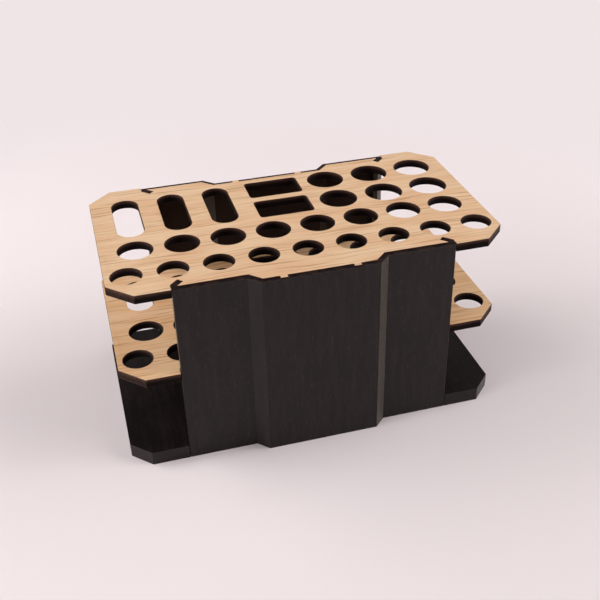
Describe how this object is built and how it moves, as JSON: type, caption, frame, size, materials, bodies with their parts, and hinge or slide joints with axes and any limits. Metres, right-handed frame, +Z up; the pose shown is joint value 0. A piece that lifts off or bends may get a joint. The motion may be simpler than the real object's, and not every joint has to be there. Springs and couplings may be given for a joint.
{
  "type": "hobby workstation organizer",
  "caption": "Tiered desk stand: shelves pierced with round holes, slots and boxes hold tools and bottles upright between stepped, hooked front and back panels.",
  "frame": {"origin": "on the ground, under the middle of the boards' width and depth", "axes": "+X to the user's right along the width, +Y from the front panel to the back panel, +Z up"},
  "size_m": [0.245, 0.144, 0.1255],
  "materials": {
    "board_core": "fibreboard, its cut edges burnt dark brown",
    "panel_core": "dark fibreboard, bare edges",
    "oak_board": "fibreboard with a satin film of light straight wood grain along X on top; edges and hole walls burnt dark brown",
    "black_decor": "black film with a fine wood grain, satin"
  },
  "bodies": {
    "root": {"base_board": "board_core", "base_decor_film": "black_decor", "middle_board": "oak_board", "top_board": "oak_board", "front_panel": "panel_core", "front_panel_film": "black_decor", "back_panel": "panel_core", "back_panel_film": "black_decor"}
  },
  "joints": []
}
